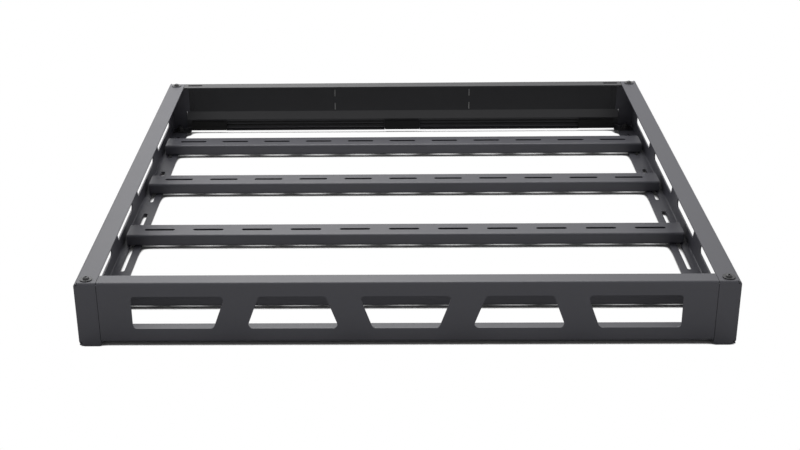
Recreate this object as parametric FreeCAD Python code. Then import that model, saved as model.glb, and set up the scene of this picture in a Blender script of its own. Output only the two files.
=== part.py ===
"""Roof rack tray of bent steel sheet: two side panels, two end panels and four slotted crossbars.

Units are millimetres. X runs across the rack, Y towards its front, and Z up from the floor.
"""
import FreeCAD
import Part

import math
import os

Vector = FreeCAD.Vector

# Overall size
RACK_WIDTH = 1143.0
RACK_LENGTH = 1118.0
RACK_HEIGHT = 122.0

# Sheet and joints
PANEL_SHEET = 3.0
BAR_SHEET = 2.5
BEND_INSIDE = 2.0
SEAM = 0.8
BOLT_HOLE = 9.0
CORNER_BOLT_INSET = 17.5
LAP_BOLT_INSET = 30.0
EAR_CLEARANCE = 2.5

# Side panels, with windows from the rear one to the front one
SIDE_TOP_FLANGE = 38.0
SIDE_BOTTOM_FLANGE = 41.0
FOOT_DROP = 5.0
FOOT_CORNER = 6.0
SIDE_WINDOW_END = 62.0
SIDE_STRUT = 63.0
SIDE_STRUT_LEAN = 0.42
SIDE_WINDOW_SHARES = (0.2925, 0.2075, 0.2621, 0.2379)
FLANGE_SLOT_WIDTH = 9.0
FLANGE_SLOT_INSET = 22.5

# Windows of the side panels and the rear panel
WINDOW_TOP_MARGIN = 25.5
WINDOW_BOTTOM_MARGIN = 34.5
WINDOW_CORNER = 7.0

# Rear panel
REAR_TOP_FLANGE = 32.0
REAR_BOTTOM_FLANGE = 64.0
REAR_WINDOW_END = 96.5
REAR_WINDOW_EXTRA = 14.0
REAR_STRUT = 58.0
REAR_STRUT_LEAN = 0.365
REAR_STRUT_COUNT = 4

# Front fairing panel
FRONT_TOP_FLANGE = 34.0
FRONT_BAND_HEIGHT = 24.0
FRONT_JOGGLE_HEIGHT = 18.0
FRONT_JOGGLE_DEPTH = 9.0
FRONT_LIP_DEPTH = 16.0
FRONT_LIP_START = 43.0
FRONT_LIP_END_MARGIN = 98.0
FRONT_EAR_DEPTH = 34.0
FRONT_EAR_ROOT = 12.0
FRONT_SLOT_LENGTH = 37.0
FRONT_SLOT_WIDTH = 8.5
FRONT_SLOT_INSET = 64.0
BRACKET_SLOT_LENGTH = 17.0
BRACKET_SLOT_WIDTH = 3.0
BRACKET_SLOT_INSET = 56.5
BRACKET_SLOT_PLACE = 165.0
BRACKET_SLOT_DROP = 17.0
BRACKET_SLOT_RISE = 4.0

# Crossbars, from the rear one to the front one
BAR_NAMES = ("crossbar_rear", "crossbar_mid_rear", "crossbar_mid_front", "crossbar_front")
BAR_PLACE_SHARES = (-0.705, -0.227, 0.265, 0.697)
FLANGE_SLOT_REACHES = ((96.0, 48.0), (145.0, 140.0), (73.0, 109.0), (43.5, 100.5))
BAR_DEPTH = 56.0
BAR_HEIGHT = 24.0
BAR_MOUTH = 18.0
BAR_END_GAP = 9.5
BAR_SLOT_COUNT = 11
BAR_SLOT_LENGTH = 62.0
BAR_SLOT_WIDTH = 8.5
BAR_SLOT_MARGIN = 32.0
BAR_SLOT_END_FLATS = 4
BAR_BOLT_SLOTS = ((1, 9), (0, 3, 7, 10), (0, 3, 7, 10), (1, 9))

# Places that several pieces share
HALF_WIDTH = RACK_WIDTH / 2
HALF_LENGTH = RACK_LENGTH / 2
BEND_OUTSIDE = BEND_INSIDE + PANEL_SHEET
LEDGE = FOOT_DROP + PANEL_SHEET
END_HALF = HALF_WIDTH - SIDE_TOP_FLANGE - SEAM
EAR_END = HALF_WIDTH - BEND_OUTSIDE - EAR_CLEARANCE
EAR_INSET = BEND_OUTSIDE + SEAM
CORNER_BOLT = (HALF_WIDTH - SIDE_TOP_FLANGE / 2, HALF_LENGTH - CORNER_BOLT_INSET)
LAP_BOLT = (HALF_WIDTH - FLANGE_SLOT_INSET, HALF_LENGTH - LAP_BOLT_INSET)
BAR_PLACES = [share * HALF_LENGTH for share in BAR_PLACE_SHARES]
WINDOW_BOTTOM = WINDOW_BOTTOM_MARGIN
WINDOW_TOP = RACK_HEIGHT - WINDOW_TOP_MARGIN
FRONT_BAND_FACE = HALF_LENGTH - FRONT_JOGGLE_DEPTH
FRONT_BAND_TOP = LEDGE + FRONT_BAND_HEIGHT
FRONT_WEB_BOTTOM = FRONT_BAND_TOP + FRONT_JOGGLE_HEIGHT
CUT_OVERRUN = 1.0
SHORTEST_EDGE = 1e-6
ACROSS = Vector(1, 0, 0)
ALONG = Vector(0, 1, 0)
UP = Vector(0, 0, 1)
CENTRE = Vector(0, 0, 0)


def plane_xy(z):
    """Plane of a plan view, at height z."""
    return lambda point: Vector(point.x, point.y, z)


def plane_xz(y):
    """Plane of an end view, at place y."""
    return lambda point: Vector(point.x, y, point.y)


def plane_yz(x):
    """Plane of a side view, at place x."""
    return lambda point: Vector(x, point.x, point.y)


def corner_arc(before, corner, after, radius):
    """Start, middle and end of the arc that rounds a corner between its neighbours."""
    if not radius:
        return corner, corner, corner
    to_before = (before - corner).normalize()
    to_after = (after - corner).normalize()
    half_angle = to_before.getAngle(to_after) / 2
    reach = radius / math.tan(half_angle)
    bisector = (to_before + to_after).normalize()
    middle = corner + bisector * (radius / math.sin(half_angle) - radius)
    return corner + to_before * reach, middle, corner + to_after * reach


def rounded_wire(corners, place):
    """Closed wire through corners (a, b, radius), set in space by a plane."""
    points = [Vector(a, b, 0) for a, b, _ in corners]
    count = len(points)
    arcs = []
    for index, point in enumerate(points):
        following = points[(index + 1) % count]
        arcs.append(corner_arc(points[index - 1], point, following, corners[index][2]))
    edges = []
    for index, (start, middle, end) in enumerate(arcs):
        if (end - start).Length > SHORTEST_EDGE:
            edges.append(Part.Arc(place(start), place(middle), place(end)).toShape())
        following = arcs[(index + 1) % count][0]
        if (following - end).Length > SHORTEST_EDGE:
            edges.append(Part.LineSegment(place(end), place(following)).toShape())
    return Part.Wire(edges)


def prism(corners, place, sweep):
    """Solid swept from a rounded outline."""
    return Part.Face(rounded_wire(corners, place)).extrude(sweep)


def sheet_outline(path, sheet):
    """Outline of a bent sheet whose one face follows the path, with the sheet on the path's left."""
    points = [Vector(a, b, 0) for a, b in path]
    headings = [(end - start).normalize() for start, end in zip(points, points[1:])]
    face = []
    back = []
    for index, point in enumerate(points):
        before = headings[max(index - 1, 0)]
        after = headings[min(index, len(headings) - 1)]
        left_before = Vector(-before.y, before.x, 0)
        left_after = Vector(-after.y, after.x, 0)
        offset = (left_before + left_after) * (sheet / (1 + left_before.dot(left_after)))
        turn = before.x * after.y - before.y * after.x
        outside = BEND_INSIDE + sheet
        face_radius = 0.0 if turn == 0 else outside if turn > 0 else BEND_INSIDE
        back_radius = 0.0 if turn == 0 else BEND_INSIDE if turn > 0 else outside
        face.append((point.x, point.y, face_radius))
        back.append((point.x + offset.x, point.y + offset.y, back_radius))
    return face + back[::-1]


def rectangle(a_low, a_high, b_low, b_high, radius=0.0):
    """Corners of a rectangle, rounded alike."""
    return [(a_low, b_low, radius), (a_high, b_low, radius), (a_high, b_high, radius), (a_low, b_high, radius)]


def block(x_low, x_high, y_low, y_high, z_low, z_high):
    """Plain block between two corners."""
    return prism(rectangle(x_low, x_high, y_low, y_high), plane_xy(z_low), UP * (z_high - z_low))


def level_hole(x, y, z_low, z_high):
    """Cutter of an upright bolt hole through one or more sheets."""
    depth = z_high - z_low + 2 * CUT_OVERRUN
    return Part.makeCylinder(BOLT_HOLE / 2, depth, Vector(x, y, z_low - CUT_OVERRUN), UP)


def level_slot(x_low, x_high, y_low, y_high, z_top, sheet):
    """Cutter of a round-ended slot through a level sheet."""
    radius = min(x_high - x_low, y_high - y_low) / 2
    outline = rectangle(x_low, x_high, y_low, y_high, radius)
    return prism(outline, plane_xy(z_top - sheet - CUT_OVERRUN), UP * (sheet + 2 * CUT_OVERRUN))


def truss_windows(end, widths, strut, leans):
    """Outlines of a row of windows between leaning struts, with upright outer ends."""
    half_rise = (WINDOW_TOP - WINDOW_BOTTOM) / 2
    edges = [(-end, 0.0)]
    cursor = -end
    for width, lean in zip(widths, leans):
        cursor += width
        edges.append((cursor, lean))
        cursor += strut
        edges.append((cursor, lean))
    edges.append((end, 0.0))
    outlines = []
    for (left, left_lean), (right, right_lean) in zip(edges[0::2], edges[1::2]):
        outlines.append([
            (left - left_lean * half_rise, WINDOW_BOTTOM, WINDOW_CORNER),
            (right - right_lean * half_rise, WINDOW_BOTTOM, WINDOW_CORNER),
            (right + right_lean * half_rise, WINDOW_TOP, WINDOW_CORNER),
            (left + left_lean * half_rise, WINDOW_TOP, WINDOW_CORNER),
        ])
    return outlines


def end_tab():
    """Foot tab that turns down from the front end of the right side panel's top flange."""
    inner = HALF_WIDTH - SIDE_TOP_FLANGE
    outer = HALF_WIDTH - BEND_OUTSIDE - SEAM
    path = [
        (HALF_LENGTH, 0.0),
        (HALF_LENGTH, RACK_HEIGHT),
        (HALF_LENGTH - BEND_OUTSIDE, RACK_HEIGHT),
    ]
    folded = prism(sheet_outline(path, PANEL_SHEET), plane_yz(inner), ACROSS * (outer - inner))
    outline = [
        (inner, 0.0, FOOT_CORNER),
        (outer, 0.0, FOOT_CORNER),
        (outer, RACK_HEIGHT, 0.0),
        (inner, RACK_HEIGHT, 0.0),
    ]
    return folded.common(prism(outline, plane_xz(HALF_LENGTH - BEND_OUTSIDE), ALONG * BEND_OUTSIDE))


def end_notches():
    """Cutters that clear the ends of both flanges for the front foot tab."""
    bend_line = HALF_WIDTH - BEND_OUTSIDE
    inner = HALF_WIDTH - max(SIDE_TOP_FLANGE, SIDE_BOTTOM_FLANGE) - CUT_OVERRUN
    past_end = HALF_LENGTH + CUT_OVERRUN
    top = block(inner, bend_line, HALF_LENGTH - BEND_OUTSIDE, past_end,
                RACK_HEIGHT - PANEL_SHEET - CUT_OVERRUN, RACK_HEIGHT + CUT_OVERRUN)
    bottom = block(inner, bend_line, HALF_LENGTH - PANEL_SHEET - SEAM, past_end,
                   FOOT_DROP - CUT_OVERRUN, LEDGE + CUT_OVERRUN)
    return [top, bottom]


def flange_slots():
    """Cutters of the long slots, under the crossbars, in the right bottom flange."""
    x_low = LAP_BOLT[0] - FLANGE_SLOT_WIDTH / 2
    x_high = LAP_BOLT[0] + FLANGE_SLOT_WIDTH / 2
    slots = []
    for place, (rearward, forward) in zip(BAR_PLACES, FLANGE_SLOT_REACHES):
        slots.append(level_slot(x_low, x_high, place - rearward, place + forward, LEDGE, PANEL_SHEET))
    return slots


def side_windows():
    """Cutters of the four leaning windows in the right web."""
    end = HALF_LENGTH - SIDE_WINDOW_END
    strut_count = len(SIDE_WINDOW_SHARES) - 1
    free = 2 * end - strut_count * SIDE_STRUT
    widths = [share * free for share in SIDE_WINDOW_SHARES]
    outlines = truss_windows(end, widths, SIDE_STRUT, [-SIDE_STRUT_LEAN] * strut_count)
    inside = HALF_WIDTH - PANEL_SHEET - CUT_OVERRUN
    return [prism(outline, plane_yz(inside), ACROSS * (PANEL_SHEET + 2 * CUT_OVERRUN)) for outline in outlines]


def side_panel():
    """Right side panel: a channel with windows, slots and a foot tab at each end."""
    path = [
        (HALF_WIDTH - SIDE_BOTTOM_FLANGE, FOOT_DROP),
        (HALF_WIDTH, FOOT_DROP),
        (HALF_WIDTH, RACK_HEIGHT),
        (HALF_WIDTH - SIDE_TOP_FLANGE, RACK_HEIGHT),
    ]
    channel = prism(sheet_outline(path, PANEL_SHEET), plane_xz(-HALF_LENGTH), ALONG * RACK_LENGTH)
    notches = end_notches()
    notches += [notch.mirror(CENTRE, ALONG) for notch in notches]
    tab = end_tab()
    panel = channel.cut(notches).fuse([tab, tab.mirror(CENTRE, ALONG)]).removeSplitter()
    cutters = flange_slots() + side_windows()
    for end in (-1, 1):
        cutters.append(level_hole(CORNER_BOLT[0], end * CORNER_BOLT[1], RACK_HEIGHT - PANEL_SHEET, RACK_HEIGHT))
        cutters.append(level_hole(LAP_BOLT[0], end * LAP_BOLT[1], FOOT_DROP, LEDGE))
    return panel.cut(cutters)


def top_ear(y_low, y_high):
    """Ear that steps down from an end panel's top flange to lie under the right side flange."""
    top = RACK_HEIGHT
    under = RACK_HEIGHT - PANEL_SHEET
    below = RACK_HEIGHT - 2 * PANEL_SHEET
    outline = [
        (END_HALF - 3 * PANEL_SHEET, under, 0.0),
        (END_HALF - 2 * PANEL_SHEET, under, 0.0),
        (END_HALF - PANEL_SHEET, below, 0.0),
        (EAR_END, below, 0.0),
        (EAR_END, under, 0.0),
        (END_HALF, under, 0.0),
        (END_HALF, top, 0.0),
        (END_HALF - 3 * PANEL_SHEET, top, 0.0),
    ]
    return prism(outline, plane_xz(y_low), ALONG * (y_high - y_low))


def with_ears(panel, ears, end):
    """End panel with its ears on both sides, drilled for the corner bolts and the lap bolts."""
    both = ears + [ear.mirror(CENTRE, ACROSS) for ear in ears]
    joined = panel.fuse(both).removeSplitter()
    holes = []
    for side in (-1, 1):
        holes.append(level_hole(side * CORNER_BOLT[0], end * CORNER_BOLT[1],
                                RACK_HEIGHT - 2 * PANEL_SHEET, RACK_HEIGHT))
        holes.append(level_hole(side * LAP_BOLT[0], end * LAP_BOLT[1], LEDGE, LEDGE + PANEL_SHEET))
    return joined.cut(holes)


def rear_windows():
    """Cutters of the zigzag row of windows in the rear web."""
    end = HALF_WIDTH - REAR_WINDOW_END
    free = 2 * end - REAR_STRUT_COUNT * REAR_STRUT - 2 * REAR_WINDOW_EXTRA
    width = free / (REAR_STRUT_COUNT + 1)
    widths = [width + REAR_WINDOW_EXTRA] + [width] * REAR_STRUT_COUNT
    leans = [REAR_STRUT_LEAN * (-1) ** index for index in range(REAR_STRUT_COUNT)]
    outlines = truss_windows(end, widths, REAR_STRUT, leans)
    outside = -HALF_LENGTH - CUT_OVERRUN
    return [prism(outline, plane_xz(outside), ALONG * (PANEL_SHEET + 2 * CUT_OVERRUN)) for outline in outlines]


def rear_panel():
    """Rear panel: a channel with a zigzag row of windows and a deep bottom flange."""
    path = [
        (-HALF_LENGTH + REAR_TOP_FLANGE, RACK_HEIGHT),
        (-HALF_LENGTH, RACK_HEIGHT),
        (-HALF_LENGTH, LEDGE),
        (-HALF_LENGTH + REAR_BOTTOM_FLANGE, LEDGE),
    ]
    channel = prism(sheet_outline(path, PANEL_SHEET), plane_yz(-END_HALF), ACROSS * (2 * END_HALF))
    ears = [
        top_ear(-HALF_LENGTH + EAR_INSET, -HALF_LENGTH + REAR_TOP_FLANGE),
        block(END_HALF, EAR_END, -HALF_LENGTH + EAR_INSET, -HALF_LENGTH + REAR_BOTTOM_FLANGE,
              LEDGE, LEDGE + PANEL_SHEET),
    ]
    return with_ears(channel.cut(rear_windows()), ears, -1)


def front_strip(x_low, x_high, lip_depth):
    """Length of the front fairing between two places, with or without a lip at its foot."""
    path = [
        (FRONT_BAND_FACE, LEDGE),
        (FRONT_BAND_FACE, FRONT_BAND_TOP),
        (HALF_LENGTH, FRONT_WEB_BOTTOM),
        (HALF_LENGTH, RACK_HEIGHT),
        (HALF_LENGTH - FRONT_TOP_FLANGE, RACK_HEIGHT),
    ]
    if lip_depth:
        path.insert(0, (FRONT_BAND_FACE - lip_depth, LEDGE))
    return prism(sheet_outline(path, PANEL_SHEET), plane_yz(x_low), ACROSS * (x_high - x_low))


def bracket_slots():
    """Cutters of the pairs of narrow upright slots in the front web."""
    upper_top = RACK_HEIGHT - BRACKET_SLOT_DROP
    lower_bottom = FRONT_WEB_BOTTOM + BRACKET_SLOT_RISE
    spans = ((upper_top - BRACKET_SLOT_LENGTH, upper_top), (lower_bottom, lower_bottom + BRACKET_SLOT_LENGTH))
    outer_place = HALF_WIDTH - BRACKET_SLOT_INSET
    half = BRACKET_SLOT_WIDTH / 2
    inside = HALF_LENGTH - PANEL_SHEET - CUT_OVERRUN
    slots = []
    for x in (-outer_place, -BRACKET_SLOT_PLACE, BRACKET_SLOT_PLACE, outer_place):
        for z_low, z_high in spans:
            outline = rectangle(x - half, x + half, z_low, z_high)
            slots.append(prism(outline, plane_xz(inside), ALONG * (PANEL_SHEET + 2 * CUT_OVERRUN)))
    return slots


def front_panel():
    """Front fairing: a stepped web under a top flange, with two lips at its foot."""
    lip_end = END_HALF - FRONT_LIP_END_MARGIN
    ear_root = END_HALF - FRONT_EAR_ROOT
    half_strips = [
        front_strip(0, FRONT_LIP_START, 0),
        front_strip(FRONT_LIP_START, lip_end, FRONT_LIP_DEPTH),
        front_strip(lip_end, ear_root, 0),
        front_strip(ear_root, END_HALF, FRONT_EAR_DEPTH),
    ]
    strips = half_strips + [strip.mirror(CENTRE, ACROSS) for strip in half_strips]
    panel = strips[0].fuse(strips[1:]).removeSplitter()
    slot_y = HALF_LENGTH - FRONT_TOP_FLANGE / 2
    slot_x = HALF_WIDTH - FRONT_SLOT_INSET
    cutters = bracket_slots()
    for side in (-1, 1):
        cutters.append(level_slot(
            side * slot_x - FRONT_SLOT_LENGTH / 2, side * slot_x + FRONT_SLOT_LENGTH / 2,
            slot_y - FRONT_SLOT_WIDTH / 2, slot_y + FRONT_SLOT_WIDTH / 2, RACK_HEIGHT, PANEL_SHEET))
    ears = [
        top_ear(HALF_LENGTH - FRONT_TOP_FLANGE, HALF_LENGTH - EAR_INSET),
        block(END_HALF, EAR_END, FRONT_BAND_FACE - FRONT_EAR_DEPTH, FRONT_BAND_FACE - BEND_OUTSIDE,
              LEDGE, LEDGE + PANEL_SHEET),
    ]
    return with_ears(panel.cut(cutters), ears, 1)


def flat_ended_slot(x_low, place, top):
    """Cutter of a slot in a crossbar's top, its half-round ends made of a few flats."""
    radius = BAR_SLOT_WIDTH / 2
    x_high = x_low + BAR_SLOT_LENGTH
    corners = []
    for centre, heading in ((x_high - radius, -math.pi / 2), (x_low + radius, math.pi / 2)):
        for step in range(BAR_SLOT_END_FLATS + 1):
            angle = heading + math.pi * step / BAR_SLOT_END_FLATS
            corners.append((centre + radius * math.cos(angle), place + radius * math.sin(angle), 0.0))
    return prism(corners, plane_xy(top - BAR_SHEET - CUT_OVERRUN), UP * (BAR_SHEET + 2 * CUT_OVERRUN))


def bar_slots(first, pitch, place, top, bolt_slots):
    """Cutters of a crossbar's row of slots; those for bolts have true half-round ends."""
    radius = BAR_SLOT_WIDTH / 2
    slots = []
    for index in range(BAR_SLOT_COUNT):
        x_low = first + index * pitch
        if index in bolt_slots:
            x_high = x_low + BAR_SLOT_LENGTH
            slots.append(level_slot(x_low, x_high, place - radius, place + radius, top, BAR_SHEET))
        else:
            slots.append(flat_ended_slot(x_low, place, top))
    return slots


def crossbar(place, bolt_slots):
    """Crossbar at a place along the rack: a lipped channel, open below, with a row of slots on top."""
    half_bar = HALF_WIDTH - PANEL_SHEET - BAR_END_GAP
    top = LEDGE + BAR_HEIGHT
    path = [
        (place + BAR_MOUTH / 2, LEDGE),
        (place + BAR_DEPTH / 2, LEDGE),
        (place + BAR_DEPTH / 2, top),
        (place - BAR_DEPTH / 2, top),
        (place - BAR_DEPTH / 2, LEDGE),
        (place - BAR_MOUTH / 2, LEDGE),
    ]
    channel = prism(sheet_outline(path, BAR_SHEET), plane_yz(-half_bar), ACROSS * (2 * half_bar))
    first = -half_bar + BAR_SLOT_MARGIN
    pitch = (2 * half_bar - 2 * BAR_SLOT_MARGIN - BAR_SLOT_LENGTH) / (BAR_SLOT_COUNT - 1)
    return channel.cut(bar_slots(first, pitch, place, top, bolt_slots))


def build():
    """All pieces of the rack by name."""
    right = side_panel()
    pieces = {
        "right_side_panel": right,
        "left_side_panel": right.mirror(CENTRE, ACROSS),
        "rear_panel": rear_panel(),
        "front_fairing": front_panel(),
    }
    for name, place, bolt_slots in zip(BAR_NAMES, BAR_PLACES, BAR_BOLT_SLOTS):
        pieces[name] = crossbar(place, bolt_slots)
    return pieces


os.makedirs("parts", exist_ok=True)
for piece_name, piece in build().items():
    piece.exportStep(os.path.join("parts", piece_name + ".step"))
    print(piece_name, piece.isValid(), len(piece.Solids), round(piece.Volume), piece.BoundBox)
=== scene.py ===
"""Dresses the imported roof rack: its coats, fasteners, welds and seal, and a plain studio."""
import logging
import math
from dataclasses import dataclass, field
from enum import Enum
from typing import Any, Sequence

import bpy
from mathutils import Euler, Matrix, Vector

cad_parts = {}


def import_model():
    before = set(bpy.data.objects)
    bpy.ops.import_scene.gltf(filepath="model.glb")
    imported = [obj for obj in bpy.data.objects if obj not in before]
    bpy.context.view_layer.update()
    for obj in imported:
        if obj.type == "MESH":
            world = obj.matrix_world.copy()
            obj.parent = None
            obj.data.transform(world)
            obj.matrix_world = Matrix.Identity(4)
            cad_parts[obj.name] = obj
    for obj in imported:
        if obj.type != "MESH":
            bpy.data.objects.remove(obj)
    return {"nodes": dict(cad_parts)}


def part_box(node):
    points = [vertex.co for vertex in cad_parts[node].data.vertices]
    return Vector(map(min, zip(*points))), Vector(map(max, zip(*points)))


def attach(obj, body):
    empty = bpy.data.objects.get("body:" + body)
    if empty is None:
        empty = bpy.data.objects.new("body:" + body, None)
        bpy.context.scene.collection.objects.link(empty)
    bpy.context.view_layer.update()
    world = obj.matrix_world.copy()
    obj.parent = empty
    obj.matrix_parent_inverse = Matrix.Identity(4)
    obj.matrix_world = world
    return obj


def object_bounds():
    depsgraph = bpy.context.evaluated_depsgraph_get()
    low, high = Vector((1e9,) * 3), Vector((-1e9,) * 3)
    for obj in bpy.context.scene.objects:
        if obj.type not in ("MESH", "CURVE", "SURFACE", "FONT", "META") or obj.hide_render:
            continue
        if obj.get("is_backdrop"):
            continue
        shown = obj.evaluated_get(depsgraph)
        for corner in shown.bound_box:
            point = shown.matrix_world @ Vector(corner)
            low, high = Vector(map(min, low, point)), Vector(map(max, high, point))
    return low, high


LOG = logging.getLogger("roof_rack")
BODY = "root"
MM = 0.001
MIDDLE = 0.5
HEX_SIDES = 6
BOLT_SIDES = 24
HEAD_SIDES = 40
HEAD_RINGS = 9
WASHER_SIDES = 48
DOME_SHARE = 0.86
NUT_PLATE_BOSS = 1.5
Point = tuple[float, float, float]
Colour = tuple[float, float, float, float]


class Side(Enum):
    """Which way a fastener's head points from the sheet that it sits on."""

    UP = 0.0
    DOWN = math.pi


class Signal:
    """A socket of a node tree that can be used in plain arithmetic."""

    def __init__(self, tree: "NodeBench", socket: bpy.types.NodeSocket) -> None:
        """Wraps one output socket of a tree."""
        self.tree = tree
        self.socket = socket

    def __add__(self, other: "Signal | float") -> "Signal":
        """Sum with a signal or a number."""
        return self.tree.math("ADD", self, other)

    def __radd__(self, other: float) -> "Signal":
        """Sum of a number with this signal."""
        return self.tree.math("ADD", other, self)

    def __sub__(self, other: "Signal | float") -> "Signal":
        """Difference from a signal or a number."""
        return self.tree.math("SUBTRACT", self, other)

    def __rsub__(self, other: float) -> "Signal":
        """A number less this signal."""
        return self.tree.math("SUBTRACT", other, self)

    def __mul__(self, other: "Signal | float") -> "Signal":
        """Product with a signal or a number."""
        return self.tree.math("MULTIPLY", self, other)

    def __rmul__(self, other: float) -> "Signal":
        """Product of a number with this signal."""
        return self.tree.math("MULTIPLY", other, self)

    def __truediv__(self, other: "Signal | float") -> "Signal":
        """Quotient by a signal or a number."""
        return self.tree.math("DIVIDE", self, other)

    def __pow__(self, other: float) -> "Signal":
        """Power with a number."""
        return self.tree.math("POWER", self, other)


class NodeBench:
    """Adds and links the nodes of one tree."""

    MATH_NODE = "ShaderNodeMath"

    def __init__(self, tree: bpy.types.NodeTree) -> None:
        """Takes an empty or filled tree to work on."""
        self.tree = tree

    def node(self, kind: str, settings: dict[str, Any] | None = None,
             sockets: dict[str | int, Any] | None = None) -> bpy.types.Node:
        """Adds a node.

        Args:
            kind: the node's type.
            settings: properties that are set first.
            sockets: values or signals by socket name or index.

        Returns:
            The new node.
        """
        made = self.tree.nodes.new(kind)
        for name, value in (settings or {}).items():
            setattr(made, name, value)
        for name, value in (sockets or {}).items():
            self.feed(made.inputs[name], value)
        return made

    def feed(self, socket: bpy.types.NodeSocket, value: Any) -> None:
        """Links a signal to a socket, or sets its plain value."""
        if isinstance(value, Signal):
            self.tree.links.new(value.socket, socket)
        else:
            socket.default_value = value

    def out(self, node: bpy.types.Node, name: str | int = 0) -> Signal:
        """Output of a node as a signal."""
        return Signal(self, node.outputs[name])

    def math(self, operation: str, left: Signal | float, right: Signal | float = 0.0) -> Signal:
        """Result of one Math node."""
        return self.out(self.node(self.MATH_NODE, {"operation": operation}, {0: left, 1: right}))


class ShaderBench(NodeBench):
    """Node bench of a material or a world."""

    MIX_SHARE = 0
    MIX_FIRST = 6
    MIX_SECOND = 7
    MIX_RESULT = 2

    def __init__(self, owner: bpy.types.Material | bpy.types.World) -> None:
        """Empties the owner's tree."""
        owner.use_nodes = True
        owner.node_tree.nodes.clear()
        super().__init__(owner.node_tree)

    def object_place(self) -> Signal:
        """Place on the surface in the object's own coordinates."""
        return self.out(self.node("ShaderNodeTexCoord"), "Object")

    def noise(self, place: Signal, scale: float, detail: float, roughness: float = 0.5) -> Signal:
        """Value of a noise texture with so many waves to the metre."""
        return self.out(self.node("ShaderNodeTexNoise", {}, {
            "Vector": place, "Scale": scale, "Detail": detail, "Roughness": roughness}))

    def mix_colour(self, share: Signal | float, first: Any, second: Any) -> Signal:
        """Blend of two colours."""
        mix = self.node("ShaderNodeMix", {"data_type": "RGBA"}, {
            self.MIX_SHARE: share, self.MIX_FIRST: first, self.MIX_SECOND: second})
        return self.out(mix, self.MIX_RESULT)

    def relief(self, height: Signal, strength: float, distance: float) -> Signal:
        """Normal of a fine relief, so many metres deep."""
        return self.out(self.node("ShaderNodeBump", {}, {
            "Strength": strength, "Distance": distance, "Height": height}))

    def surface(self, sockets: dict[str | int, Any]) -> None:
        """Ends a material's tree in one Principled shader."""
        shader = self.node("ShaderNodeBsdfPrincipled", {}, sockets)
        self.node("ShaderNodeOutputMaterial", {}, {"Surface": self.out(shader)})

    def direct(self) -> Signal:
        """One where the camera itself meets the surface."""
        return self.out(self.node("ShaderNodeLightPath"), "Is Camera Ray")

    def mirrored(self) -> Signal:
        """One where a reflection or a view through glass meets the surface."""
        path = self.node("ShaderNodeLightPath")
        reflected = self.out(path, "Is Glossy Ray")
        passed = self.out(path, "Is Transmission Ray")
        return self.math("MINIMUM", reflected + passed, 1.0)

    def openness(self, reach: float, rays: int) -> Signal:
        """One on open ground, less where something stands within reach, found with so many rays."""
        found = self.node("ShaderNodeAmbientOcclusion", {"samples": rays}, {"Distance": reach})
        return self.out(found, "AO")


def grey(level: float, blue: float = 0.0) -> Colour:
    """Neutral colour of a level, with a little more blue if asked."""
    return (level, level, level * (1.0 + blue), 1.0)


@dataclass(frozen=True)
class PowderCoat:
    """Satin black powder coat with a fine grain and a faint orange peel."""

    name: str = "satin_powder_coat"
    level: float = 0.056
    blue: float = 0.22
    mottle: float = 0.22
    roughness: float = 0.46
    roughness_spread: float = 0.10
    grain_waves: float = 1250.0
    peel_waves: float = 210.0
    mottle_waves: float = 11.0
    grain_share: float = 0.3
    relief: float = 0.00016
    relief_strength: float = 0.32
    relief_grain_share: float = 0.45

    def build(self) -> bpy.types.Material:
        """Makes the material."""
        material = bpy.data.materials.new(self.name)
        bench = ShaderBench(material)
        place = bench.object_place()
        grain = bench.noise(place, self.grain_waves, 2.0)
        peel = bench.noise(place, self.peel_waves, 3.0)
        mottle = bench.noise(place, self.mottle_waves, 4.0, 0.6)
        dark = grey(self.level * (1.0 - self.mottle), self.blue)
        pale = grey(self.level * (1.0 + self.mottle), self.blue)
        patches = mottle * (1.0 - self.grain_share) + grain * self.grain_share
        height = peel * (1.0 - self.relief_grain_share) + grain * self.relief_grain_share
        bench.surface({
            "Base Color": bench.mix_colour(patches, dark, pale),
            "Roughness": self.roughness + (mottle + grain - 2 * MIDDLE) * self.roughness_spread,
            "Normal": bench.relief(height, self.relief_strength, self.relief)})
        return material


@dataclass(frozen=True)
class BlackOxide:
    """Dark steel of the bolts, washers and nuts, with a fine turned streak."""

    name: str = "black_oxide_steel"
    level: float = 0.04
    blue: float = 0.04
    dark_share: float = 0.7
    pale_share: float = 1.35
    roughness: float = 0.36
    roughness_spread: float = 0.16
    metallic: float = 0.55
    streak_waves: float = 900.0
    mottle_waves: float = 150.0
    relief: float = 0.00008
    relief_strength: float = 0.25

    def build(self) -> bpy.types.Material:
        """Makes the material."""
        material = bpy.data.materials.new(self.name)
        bench = ShaderBench(material)
        place = bench.object_place()
        streak = bench.noise(place, self.streak_waves, 2.0)
        mottle = bench.noise(place, self.mottle_waves, 3.0)
        dark = grey(self.level * self.dark_share, self.blue)
        pale = grey(self.level * self.pale_share, self.blue)
        bench.surface({
            "Base Color": bench.mix_colour(mottle, dark, pale),
            "Roughness": self.roughness + (mottle - MIDDLE) * self.roughness_spread,
            "Metallic": self.metallic,
            "Normal": bench.relief(streak, self.relief_strength, self.relief)})
        return material


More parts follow.
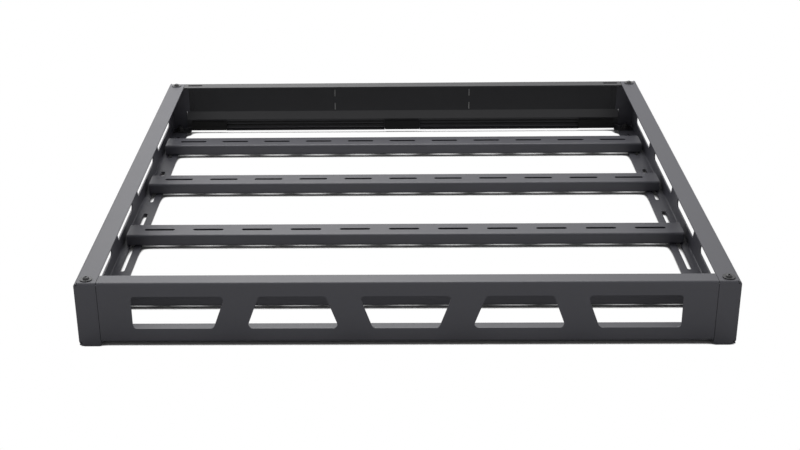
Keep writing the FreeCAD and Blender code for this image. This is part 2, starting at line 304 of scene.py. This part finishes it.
@dataclass(frozen=True)
class SealRubber:
    """Dull black rubber of the seal at the fairing's foot, with a dusty mottle."""

    name: str = "seal_rubber"
    level: float = 0.012
    roughness: float = 0.74
    roughness_spread: float = 0.12
    gloss: float = 0.2
    dark_share: float = 0.7
    pale_share: float = 1.4
    dust_waves: float = 60.0
    grain_waves: float = 1500.0
    relief: float = 0.0001
    relief_strength: float = 0.3

    def build(self) -> bpy.types.Material:
        """Makes the material."""
        material = bpy.data.materials.new(self.name)
        bench = ShaderBench(material)
        place = bench.object_place()
        dust = bench.noise(place, self.dust_waves, 4.0, 0.6)
        grain = bench.noise(place, self.grain_waves, 2.0)
        dark = grey(self.level * self.dark_share)
        pale = grey(self.level * self.pale_share)
        bench.surface({
            "Base Color": bench.mix_colour(dust, dark, pale),
            "Roughness": self.roughness + (dust - MIDDLE) * self.roughness_spread,
            "Specular IOR Level": self.gloss,
            "Normal": bench.relief(grain, self.relief_strength, self.relief)})
        return material


@dataclass(frozen=True)
class GlintPaintedSteel:
    """Pale grey steel of the tab ends, a painted highlight where the tabs catch the light, varied in
    streaks.
    """

    name: str = "glint_painted_steel"
    dark: float = 0.05
    # The bright level paints the highlight that the tab ends catch.
    bright: float = 0.42
    roughness: float = 0.42
    roughness_spread: float = 0.2
    metallic: float = 0.25
    streak_waves: float = 420.0
    relief: float = 0.00008
    relief_strength: float = 0.2

    def build(self) -> bpy.types.Material:
        """Makes the material."""
        material = bpy.data.materials.new(self.name)
        bench = ShaderBench(material)
        place = bench.object_place()
        streak = bench.noise(place, self.streak_waves, 3.0, 0.6)
        bench.surface({
            "Base Color": bench.mix_colour(streak, grey(self.dark), grey(self.bright)),
            "Roughness": self.roughness + (streak - MIDDLE) * self.roughness_spread,
            "Metallic": self.metallic,
            "Normal": bench.relief(streak, self.relief_strength, self.relief)})
        return material


@dataclass(frozen=True)
class PaleFloor:
    """Floor that looks white and still takes the rack's soft shadow."""

    name: str = "pale_floor"
    level: float = 0.75
    contact_reach: float = 0.04
    contact_dark: float = 0.34
    contact_clear: float = 0.43
    contact_rays: int = 32
    tray_reach: float = 0.4
    tray_depth: float = 3.0
    tray_rays: int = 6

    def build(self) -> bpy.types.Material:
        """Makes the material."""
        material = bpy.data.materials.new(self.name)
        bench = ShaderBench(material)
        matt = bench.node("ShaderNodeBsdfDiffuse", {}, {"Color": grey(self.level)})
        white = bench.node("ShaderNodeEmission", {}, {"Color": grey(1.0), "Strength": 1.0})
        clear = bench.out(bench.node("ShaderNodeMapRange", {"clamp": True}, {
            "Value": bench.openness(self.contact_reach, self.contact_rays), "From Min": self.contact_dark,
            "From Max": self.contact_clear}))
        tray = bench.openness(self.tray_reach, self.tray_rays) ** self.tray_depth
        share = bench.direct() * clear + bench.mirrored() * tray
        both = bench.node("ShaderNodeMixShader", {}, {
            0: share, 1: bench.out(matt), 2: bench.out(white)})
        bench.node("ShaderNodeOutputMaterial", {}, {"Surface": bench.out(both)})
        return material


class GeometryBench(NodeBench):
    """Node bench of a Geometry Nodes tree with named inputs."""

    SHARP_ANGLE = math.radians(32.0)

    def __init__(self, name: str) -> None:
        """Makes an empty tree with a geometry input and output."""
        tree = bpy.data.node_groups.new(name, "GeometryNodeTree")
        tree.interface.new_socket("Geometry", in_out="INPUT", socket_type="NodeSocketGeometry")
        tree.interface.new_socket("Geometry", in_out="OUTPUT", socket_type="NodeSocketGeometry")
        super().__init__(tree)
        self.entry = tree.nodes.new("NodeGroupInput")
        self.exit = tree.nodes.new("NodeGroupOutput")

    def size(self, name: str) -> Signal:
        """New named length input."""
        self.tree.interface.new_socket(name, in_out="INPUT", socket_type="NodeSocketFloat")
        return self.out(self.entry, name)

    def finish_input(self, name: str) -> Signal:
        """New named material input."""
        self.tree.interface.new_socket(name, in_out="INPUT", socket_type="NodeSocketMaterial")
        return self.out(self.entry, name)

    def vector(self, x: Any = 0.0, y: Any = 0.0, z: Any = 0.0) -> Signal:
        """Vector of three values or signals."""
        return self.out(self.node("ShaderNodeCombineXYZ", {}, {0: x, 1: y, 2: z}))

    def moved(self, geometry: Signal, height: Signal | float) -> Signal:
        """Geometry lifted along Z."""
        return self.out(self.node("GeometryNodeTransform", {}, {
            "Geometry": geometry, "Translation": self.vector(0.0, 0.0, height)}))

    def drum(self, sides: int, radius: Signal | float, depth: Signal | float, rings: int = 1) -> Signal:
        """Closed prism about Z, centred on its own middle."""
        return self.out(self.node("GeometryNodeMeshCylinder", {"fill_type": "NGON"}, {
            "Vertices": sides, "Side Segments": rings, "Radius": radius, "Depth": depth}), "Mesh")

    def slab(self, across: Signal, along: Signal, rise: Signal) -> Signal:
        """Plain block that stands on the origin."""
        block = self.node("GeometryNodeMeshCube", {}, {"Size": self.vector(across, along, rise)})
        return self.moved(self.out(block, "Mesh"), rise * 0.5)

    def joined(self, parts: Sequence[Signal]) -> Signal:
        """All parts as one geometry."""
        join = self.node("GeometryNodeJoinGeometry")
        for part in reversed(parts):
            self.tree.links.new(part.socket, join.inputs[0])
        return self.out(join)

    def close(self, shape: Signal, finish: Signal, turn: Signal, twist: float = 0.77) -> bpy.types.NodeTree:
        """Sets the shape on every point, realizes it and gives it its finish.

        Args:
            shape: one piece about the origin.
            finish: the material input.
            turn: the angle about X that points the piece up or down.
            twist: the angle about Z from one piece to the next, as a hand leaves bolts.

        Returns:
            The whole tree.
        """
        spin = self.out(self.node("GeometryNodeInputIndex")) * twist
        turned = self.node("FunctionNodeEulerToRotation", {}, {0: self.vector(turn, 0.0, spin)})
        placed = self.node("GeometryNodeInstanceOnPoints", {}, {
            "Points": self.out(self.entry, "Geometry"), "Instance": shape, "Rotation": self.out(turned)})
        real = self.node("GeometryNodeRealizeInstances", {}, {"Geometry": self.out(placed)})
        smooth = self.node("GeometryNodeSetShadeSmooth", {"domain": "FACE"}, {"Geometry": self.out(real)})
        angle = self.out(self.node("GeometryNodeInputMeshEdgeAngle"), "Unsigned Angle")
        crease = self.math("GREATER_THAN", angle, self.SHARP_ANGLE)
        sharp = self.node("GeometryNodeSetShadeSmooth", {"domain": "EDGE"}, {
            "Geometry": self.out(smooth), "Selection": crease, "Shade Smooth": False})
        coated = self.node("GeometryNodeSetMaterial", {}, {"Geometry": self.out(sharp), "Material": finish})
        self.feed(self.exit.inputs["Geometry"], self.out(coated))
        return self.tree


def button_head_tree() -> bpy.types.NodeTree:
    """Tree of a button-head bolt with a hexagon socket, on a flat washer."""
    bench = GeometryBench("button_head_bolt")
    head_radius = bench.size("Head Radius")
    head_height = bench.size("Head Height")
    socket_radius = bench.size("Socket Radius")
    socket_depth = bench.size("Socket Depth")
    washer_radius = bench.size("Washer Radius")
    washer_height = bench.size("Washer Height")
    turn = bench.size("Turn")
    finish = bench.finish_input("Finish")
    head = bench.drum(HEAD_SIDES, head_radius, head_height, HEAD_RINGS)
    position = bench.node("GeometryNodeInputPosition")
    split = bench.node("ShaderNodeSeparateXYZ", {}, {0: bench.out(position)})
    rise = bench.out(split, 2) / head_height + 0.5
    swell = (1.0 - (rise * DOME_SHARE) ** 2.0) ** 0.5
    domed = bench.vector(bench.out(split, 0) * swell, bench.out(split, 1) * swell, bench.out(split, 2))
    dome = bench.out(bench.node("GeometryNodeSetPosition", {}, {"Geometry": head, "Position": domed}))
    hexagon = bench.moved(bench.drum(HEX_SIDES, socket_radius, socket_depth * 2.0), head_height * 0.5)
    cut = bench.node("GeometryNodeMeshBoolean", {"operation": "DIFFERENCE"}, {"Mesh 1": dome})
    bench.tree.links.new(hexagon.socket, cut.inputs["Mesh 2"])
    bolt = bench.moved(bench.out(cut, "Mesh"), washer_height + head_height * 0.5)
    washer = bench.moved(bench.drum(WASHER_SIDES, washer_radius, washer_height), washer_height * 0.5)
    return bench.close(bench.joined([bolt, washer]), finish, turn)


def hex_nut_tree() -> bpy.types.NodeTree:
    """Tree of a hexagon nut with a bolt end that stands a little proud, on a flat washer."""
    bench = GeometryBench("hex_nut")
    nut_radius = bench.size("Nut Radius")
    nut_height = bench.size("Nut Height")
    bolt_radius = bench.size("Bolt Radius")
    bolt_end = bench.size("Bolt End")
    washer_radius = bench.size("Washer Radius")
    washer_height = bench.size("Washer Height")
    turn = bench.size("Turn")
    finish = bench.finish_input("Finish")
    washer = bench.moved(bench.drum(WASHER_SIDES, washer_radius, washer_height), washer_height * 0.5)
    nut = bench.moved(bench.drum(HEX_SIDES, nut_radius, nut_height), washer_height + nut_height * 0.5)
    reach = washer_height + nut_height + bolt_end
    bolt = bench.moved(bench.drum(BOLT_SIDES, bolt_radius, reach), reach * 0.5)
    return bench.close(bench.joined([washer, nut, bolt]), finish, turn)


def channel_nut_tree() -> bpy.types.NodeTree:
    """Tree of a nut plate that lies on a crossbar's lips, with its bolt's shank below it."""
    bench = GeometryBench("channel_nut")
    across = bench.size("Across")
    along = bench.size("Along")
    rise = bench.size("Rise")
    shank_radius = bench.size("Shank Radius")
    shank_reach = bench.size("Shank Reach")
    turn = bench.size("Turn")
    finish = bench.finish_input("Finish")
    boss = rise * NUT_PLATE_BOSS
    rod = bench.drum(BOLT_SIDES, shank_radius, shank_reach + boss)
    shank = bench.moved(rod, (boss - shank_reach) * 0.5)
    return bench.close(bench.joined([bench.slab(across, along, rise), shank]), finish, turn, 0.0)


def upright_strip_tree() -> bpy.types.NodeTree:
    """Tree of a plain upright strip or tab end."""
    bench = GeometryBench("upright_strip")
    across = bench.size("Across")
    along = bench.size("Along")
    rise = bench.size("Rise")
    turn = bench.size("Turn")
    finish = bench.finish_input("Finish")
    return bench.close(bench.slab(across, along, rise), finish, turn, 0.0)


@dataclass
class LikePieces:
    """A set of like small pieces, made as one mesh.

    Args:
        name: the piece's name.
        places: where each one sits, on the face of its sheet, in metres.
        side: which way they point.
        sizes: the tree's named lengths, in metres.
    """

    name: str
    places: list[Point]
    side: Side
    sizes: dict[str, float]

    def build(self, tree: bpy.types.NodeTree, finish: bpy.types.Material) -> bpy.types.Object:
        """Makes the piece.

        Args:
            tree: the Geometry Nodes tree of one of them.
            finish: the material of the whole set.

        Returns:
            A plain mesh object that rides on the rack.
        """
        points = bpy.data.meshes.new(self.name + "_places")
        points.from_pydata(self.places, [], [])
        maker = bpy.data.objects.new(self.name + "_maker", points)
        bpy.context.scene.collection.objects.link(maker)
        modifier = maker.modifiers.new("like_pieces", "NODES")
        modifier.node_group = tree
        values = dict(self.sizes, Turn=self.side.value, Finish=finish)
        for item in tree.interface.items_tree:
            if item.in_out == "INPUT" and item.name in values:
                modifier[item.identifier] = values[item.name]
        graph = bpy.context.evaluated_depsgraph_get()
        mesh = bpy.data.meshes.new_from_object(maker.evaluated_get(graph))
        maker.modifiers.remove(modifier)
        bpy.data.objects.remove(maker)
        mesh.name = self.name
        piece = bpy.data.objects.new(self.name, mesh)
        bpy.context.scene.collection.objects.link(piece)
        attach(piece, BODY)
        LOG.info("%s: %d places, %d faces", self.name, len(self.places), len(mesh.polygons))
        return piece


@dataclass
class CoatedPanels:
    """The panels and crossbars of the rack, as packed, under their coat."""

    nodes: dict[str, bpy.types.Object]
    fairing: str = "front_fairing"

    def dress(self, coat: bpy.types.Material, shaded_fairing_coat: bpy.types.Material) -> None:
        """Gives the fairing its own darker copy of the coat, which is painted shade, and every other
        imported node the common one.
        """
        for name, node in self.nodes.items():
            finish = shaded_fairing_coat if name == self.fairing else coat
            for slot in node.material_slots:
                slot.material = finish
            LOG.info("%s: %s", name, finish.name)


@dataclass
class Fasteners:
    """All bolts of the rack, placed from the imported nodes.

    Args:
        corner_inset: from the rack's ends to the corner bolts.
        corner_side: from the rack's sides to the corner bolts.
        lap_inset: from the rack's ends to the bottom lap bolts.
        flange_inset: from the rack's sides to the bolts in the bottom flanges.
        sheet: thickness of the panels.
        ledge: height of the bottom flanges' top face.
        bar_lip: thickness of the crossbars' lips.
        head: sizes of a bolt's head.
        nut: sizes of a nut and the bolt's end in it.
        washer: sizes of a flat washer.
        flat_head: sizes of the low heads under the rack.
        bar_nut: sizes of the nut plates in the crossbars.
    """

    corner_inset: float = 17.5 * MM
    corner_side: float = 19.0 * MM
    lap_inset: float = 30.0 * MM
    flange_inset: float = 22.5 * MM
    sheet: float = 3.0 * MM
    ledge: float = 8.0 * MM
    bar_lip: float = 2.5 * MM
    head: dict[str, float] = field(default_factory=lambda: {
        "Head Radius": 5.9 * MM, "Head Height": 3.3 * MM,
        "Socket Radius": 2.4 * MM, "Socket Depth": 2.0 * MM})
    nut: dict[str, float] = field(default_factory=lambda: {
        "Nut Radius": 7.4 * MM, "Nut Height": 6.4 * MM, "Bolt Radius": 4.0 * MM, "Bolt End": 2.4 * MM})
    washer: dict[str, float] = field(default_factory=lambda: {
        "Washer Radius": 11.0 * MM, "Washer Height": 1.6 * MM})
    flat_head: dict[str, float] = field(default_factory=lambda: {
        "Washer Radius": 8.6 * MM, "Washer Height": 0.9 * MM, "Head Height": 3.3 * MM})
    bar_nut: dict[str, float] = field(default_factory=lambda: {
        "Across": 24.0 * MM, "Along": 34.0 * MM, "Rise": 6.0 * MM, "Shank Radius": 4.0 * MM,
        "Shank Reach": 5.4 * MM})

    def corners(self, low: Vector, high: Vector, across: float, along: float, level: float) -> list[Point]:
        """Four places, inset from the rack's sides and ends."""
        sides = (low.x + across, high.x - across)
        ends = (low.y + along, high.y - along)
        return [(x, y, level) for x in sides for y in ends]

    def bar_places(self, low: Vector, high: Vector, level: float) -> list[Point]:
        """Two places under each crossbar, over the bottom flanges' slots."""
        places = []
        for name in ("crossbar_rear", "crossbar_mid_rear", "crossbar_mid_front", "crossbar_front"):
            bar_low, bar_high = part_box(name)
            middle = (bar_low.y + bar_high.y) / 2
            for x in (low.x + self.flange_inset, high.x - self.flange_inset):
                places.append((x, middle, level))
        return places

    def build(self, finish: bpy.types.Material, low: Vector, high: Vector) -> list[bpy.types.Object]:
        """Makes every set of bolts and nuts.

        Args:
            finish: their material.
            low: lowest corner of the rack.
            high: highest corner of the rack.

        Returns:
            The new pieces.
        """
        bolt_tree = button_head_tree()
        nut_tree = hex_nut_tree()
        top_bolts = self.corners(low, high, self.corner_side, self.corner_inset, high.z)
        top_nuts = self.corners(low, high, self.corner_side, self.corner_inset, high.z - 2 * self.sheet)
        lap_heads = self.corners(low, high, self.flange_inset, self.lap_inset, self.ledge - self.sheet)
        lap_nuts = self.corners(low, high, self.flange_inset, self.lap_inset, self.ledge + self.sheet)
        bar_heads = self.bar_places(low, high, self.ledge - self.sheet)
        bar_nuts = self.bar_places(low, high, self.ledge + self.bar_lip)
        top_head = {**self.head, **self.washer}
        low_head = {**self.head, **self.flat_head}
        nut_sizes = {**self.nut, **self.washer}
        return [
            LikePieces("corner_bolts", top_bolts, Side.UP, top_head).build(bolt_tree, finish),
            LikePieces("corner_nuts", top_nuts, Side.DOWN, nut_sizes).build(nut_tree, finish),
            LikePieces("lap_bolts", lap_heads, Side.DOWN, low_head).build(bolt_tree, finish),
            LikePieces("lap_nuts", lap_nuts, Side.UP, nut_sizes).build(nut_tree, finish),
            LikePieces("crossbar_bolts", bar_heads, Side.DOWN, low_head).build(bolt_tree, finish),
            LikePieces("crossbar_nuts", bar_nuts, Side.UP, self.bar_nut).build(channel_nut_tree(), finish),
        ]


@dataclass
class CornerWelds:
    """Weld runs that close the rack's corners, and strips behind the seams between end panels and foot tabs.

    Args:
        seam_inset: from the rack's sides to the seams.
        weld_inset: from the rack's sides to the middle of the weld runs.
        sheet: thickness of the panels.
        strip_width: width of a strip.
        strip_depth: thickness of a strip.
        weld_width: width of a weld run, as wide as the gap that it fills.
        weld_foot: height of a weld run's lower end.
        weld_head: from the rack's top to a weld run's upper end.
        toe_inset: from the rack's sides to the middle of the weld toes, under the side panels' ends.
        toe_width: width of a weld toe.
        toe_foot: height of a weld toe's lower end.
        toe_set_back: how far a weld toe stays behind the sheets' faces.
        rear_foot: height of a rear strip's lower end.
        front_foot: height of a front strip's lower end, over the fairing's step.
        strip_head: from the rack's top to a strip's upper end.
    """

    seam_inset: float = 38.4 * MM
    weld_inset: float = 4.4 * MM
    sheet: float = 3.0 * MM
    strip_width: float = 14.0 * MM
    strip_depth: float = 1.5 * MM
    weld_width: float = 2.7 * MM
    weld_foot: float = 4.9 * MM
    weld_head: float = 4.6 * MM
    toe_inset: float = 3.8 * MM
    toe_width: float = 6.4 * MM
    toe_foot: float = 2.4 * MM
    toe_set_back: float = 0.1 * MM
    rear_foot: float = 13.2 * MM
    front_foot: float = 51.2 * MM
    strip_head: float = 6.4 * MM

    def strips(self, name: str, finish: bpy.types.Material, places: list[Point],
               top: float) -> bpy.types.Object:
        """Makes the two strips of one end, up to a height."""
        sizes = {"Across": self.strip_width, "Along": self.strip_depth, "Rise": top - places[0][2]}
        return LikePieces(name, places, Side.UP, sizes).build(upright_strip_tree(), finish)

    def build(self, finish: bpy.types.Material, low: Vector, high: Vector) -> list[bpy.types.Object]:
        """Makes the welds and the strips.

        Args:
            finish: their material.
            low: lowest corner of the rack.
            high: highest corner of the rack.

        Returns:
            The new pieces.
        """
        inward = self.sheet + self.strip_depth / 2
        seams = (low.x + self.seam_inset, high.x - self.seam_inset)
        top = high.z - self.strip_head
        rear = [(x, low.y + inward, self.rear_foot) for x in seams]
        front = [(x, high.y - inward, self.front_foot) for x in seams]
        ends = (low.y + self.sheet / 2, high.y - self.sheet / 2)
        weld_sides = (low.x + self.weld_inset, high.x - self.weld_inset)
        toe_sides = (low.x + self.toe_inset, high.x - self.toe_inset)
        corners = [(x, y, self.weld_foot) for x in weld_sides for y in ends]
        toes = [(x, y, self.toe_foot) for x in toe_sides for y in ends]
        sizes = {"Across": self.weld_width, "Along": self.sheet,
                 "Rise": high.z - self.weld_head - self.weld_foot}
        toe_sizes = {"Across": self.toe_width, "Along": self.sheet - 2 * self.toe_set_back,
                     "Rise": self.weld_foot - self.toe_foot}
        pieces = [
            self.strips("rear_seam_strips", finish, rear, top),
            self.strips("front_seam_strips", finish, front, top),
            LikePieces("corner_welds", corners, Side.UP, sizes).build(upright_strip_tree(), finish),
            LikePieces("weld_toes", toes, Side.UP, toe_sizes).build(upright_strip_tree(), finish),
        ]
        return pieces


@dataclass
class SlotTabs:
    """Tab ends that fill the pairs of narrow upright slots in the front fairing.

    Args:
        outer_inset: from the rack's sides to the outer pairs.
        inner_place: from the middle to the inner pairs.
        levels: lower ends of the slots.
        sheet: thickness of the fairing.
        proud: how far the tabs stand out on the inside.
        slot: width and length of a slot.
        slack: gap on each side of a tab.
    """

    outer_inset: float = 56.5 * MM
    inner_place: float = 165.0 * MM
    levels: tuple[float, float] = (54.0 * MM, 88.0 * MM)
    sheet: float = 3.0 * MM
    proud: float = 1.2 * MM
    slot: tuple[float, float] = (3.0 * MM, 17.0 * MM)
    slack: float = 0.1 * MM

    def pairs(self, name: str, finish: bpy.types.Material, x: float, end: float) -> bpy.types.Object:
        """Makes the tabs of the two pairs that stand as far from the middle, up to the rack's front end."""
        width, length = self.slot
        depth = self.sheet + self.proud
        places = [(place, end - depth / 2, level + self.slack) for place in (-x, x) for level in self.levels]
        sizes = {"Across": width - 2 * self.slack, "Along": depth, "Rise": length - 2 * self.slack}
        return LikePieces(name, places, Side.UP, sizes).build(upright_strip_tree(), finish)

    def build(self, glint_finish: bpy.types.Material, coat: bpy.types.Material,
              high: Vector) -> list[bpy.types.Object]:
        """Makes the inner tabs, pale as a painted highlight, and the outer ones in the fairing's darker
        coat, which is painted shade.

        Args:
            glint_finish: the inner tabs' material, pale steel that paints their highlight.
            coat: the outer tabs' material, the fairing's darker coat that paints shade.
            high: highest corner of the rack.

        Returns:
            The new pieces.
        """
        inner = self.pairs("slot_tabs", glint_finish, self.inner_place, high.y)
        outer = self.pairs("outer_slot_tabs", coat, high.x - self.outer_inset, high.y)
        return [inner, outer]


@dataclass
class FairingSeal:
    """Rubber seal at the fairing's foot: pads between the lips, and ribs along the band above them.

    Args:
        band_inset: from the rack's front end to the inside of the fairing's lower band.
        pad_width: width of a pad, a little less than the gap between the lips.
        pad_depth: how far a pad stands out of the band.
        pad_foot: height of a pad's lower end.
        pad_rise: height of a pad.
        pad_place: from the middle to the outer pads' middles.
        rib_place: from the middle to the ribs' middles.
        rib_length: length of a rib.
        rib_proud: how far a rib stands out of the band.
        rib_rise: height of a rib.
        rib_levels: heights of the ribs' lower edges.
    """

    band_inset: float = 12.0 * MM
    pad_width: float = 85.0 * MM
    pad_depth: float = 12.0 * MM
    pad_foot: float = 8.2 * MM
    pad_rise: float = 21.0 * MM
    pad_place: float = 477.7 * MM
    rib_place: float = 238.8 * MM
    rib_length: float = 390.0 * MM
    rib_proud: float = 2.4 * MM
    rib_rise: float = 2.2 * MM
    rib_levels: tuple[float, float] = (18.0 * MM, 25.0 * MM)

    def build(self, finish: bpy.types.Material, high: Vector) -> list[bpy.types.Object]:
        """Makes the pads and the ribs.

        Args:
            finish: their material.
            high: highest corner of the rack.

        Returns:
            The new pieces.
        """
        band = high.y - self.band_inset
        pad_middles = (-self.pad_place, 0.0, self.pad_place)
        pads = [(x, band - self.pad_depth / 2, self.pad_foot) for x in pad_middles]
        ribs = [(x, band - self.rib_proud / 2, level) for x in (-self.rib_place, self.rib_place)
                for level in self.rib_levels]
        pad_sizes = {"Across": self.pad_width, "Along": self.pad_depth, "Rise": self.pad_rise}
        rib_sizes = {"Across": self.rib_length, "Along": self.rib_proud, "Rise": self.rib_rise}
        tree = upright_strip_tree()
        return [
            LikePieces("seal_pads", pads, Side.UP, pad_sizes).build(tree, finish),
            LikePieces("seal_ribs", ribs, Side.UP, rib_sizes).build(tree, finish),
        ]


@dataclass(frozen=True)
class SoftLamp:
    """Square soft lamp that faces a target."""

    name: str
    place: Point
    target: Point
    size: float
    power: float

    def build(self) -> None:
        """Adds the lamp to the scene."""
        data = bpy.data.lights.new(self.name, "AREA")
        data.shape = "SQUARE"
        data.size = self.size
        data.energy = self.power
        lamp = bpy.data.objects.new(self.name, data)
        lamp.location = self.place
        aim = Vector(self.target) - Vector(self.place)
        lamp.rotation_euler = aim.to_track_quat("-Z", "Y").to_euler()
        bpy.context.scene.collection.objects.link(lamp)


@dataclass
class Studio:
    """Plain pale floor, soft light and the photograph's camera."""

    floor_reach: float = 30.0
    sky: float = 0.27
    camera_place: Point = (-0.0173, -2.6585, 1.1506)
    camera_pitch: float = 23.673
    camera_yaw: float = 1.359
    camera_roll: float = -0.806
    camera_lens: float = 61.54
    camera_shift: float = 0.04278
    sensor: float = 36.0
    lamps: tuple[SoftLamp, ...] = (
        SoftLamp("key", (-0.15, 1.5, 2.6), (0.0, -0.1, 0.0), 1.9, 66.0),
        SoftLamp("back", (-1.3, 3.6, 1.5), (0.0, 0.0, 0.1), 2.6, 20.0),
    )

    def floor(self, finish: bpy.types.Material) -> bpy.types.Object:
        """Makes the floor under the rack's feet."""
        reach = self.floor_reach
        mesh = bpy.data.meshes.new("floor")
        mesh.from_pydata([(-reach, -reach, 0), (reach, -reach, 0), (reach, reach, 0), (-reach, reach, 0)],
                         [], [(0, 1, 2, 3)])
        mesh.materials.append(finish)
        floor = bpy.data.objects.new("floor", mesh)
        bpy.context.scene.collection.objects.link(floor)
        floor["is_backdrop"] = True
        return floor

    def world(self) -> None:
        """White surroundings that light the rack softly."""
        world = bpy.data.worlds.new("white_room")
        bpy.context.scene.world = world
        bench = ShaderBench(world)
        strength = (bench.direct() + bench.mirrored()) * (1.0 - self.sky) + self.sky
        light = bench.node("ShaderNodeBackground", {}, {"Color": grey(1.0), "Strength": strength})
        bench.node("ShaderNodeOutputWorld", {}, {"Surface": bench.out(light)})

    def camera(self) -> None:
        """Sets the camera as it stands in the photograph."""
        data = bpy.data.cameras.new("camera")
        data.sensor_width = self.sensor
        data.lens = self.camera_lens
        data.shift_x = self.camera_shift
        camera = bpy.data.objects.new("camera", data)
        yaw = Euler((0.0, 0.0, math.radians(self.camera_yaw))).to_matrix()
        pitch = Euler((math.radians(90.0 - self.camera_pitch), 0.0, 0.0)).to_matrix()
        roll = Euler((0.0, 0.0, math.radians(self.camera_roll))).to_matrix()
        camera.matrix_world = Matrix.Translation(self.camera_place) @ (yaw @ pitch @ roll).to_4x4()
        bpy.context.scene.collection.objects.link(camera)
        bpy.context.scene.camera = camera

    def build(self) -> None:
        """Makes the whole studio."""
        self.world()
        self.floor(PaleFloor().build())
        for lamp in self.lamps:
            lamp.build()
        self.camera()
        bpy.context.scene.view_settings.view_transform = "Standard"


def main() -> None:
    """Coats the panels, adds the small pieces and sets up the studio."""
    logging.basicConfig(level=logging.INFO, format="%(name)s: %(message)s")
    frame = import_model()
    cad_low, cad_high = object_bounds()
    coat = PowderCoat().build()
    # The fairing takes the common powder coat at a fifth of its level: painted shade on the whole fairing,
    # not a different paint.
    shaded_fairing_coat = PowderCoat("painted_shade_fairing_coat", level=0.011).build()
    CoatedPanels(frame["nodes"]).dress(coat, shaded_fairing_coat)
    CornerWelds().build(coat, cad_low, cad_high)
    Fasteners().build(BlackOxide().build(), cad_low, cad_high)
    # The inner tabs' pale steel is a painted highlight; the outer tabs take the fairing's darker coat,
    # painted shade.
    SlotTabs().build(GlintPaintedSteel().build(), shaded_fairing_coat, cad_high)
    FairingSeal().build(SealRubber().build(), cad_high)
    Studio().build()


if __name__ == "__main__":
    main()
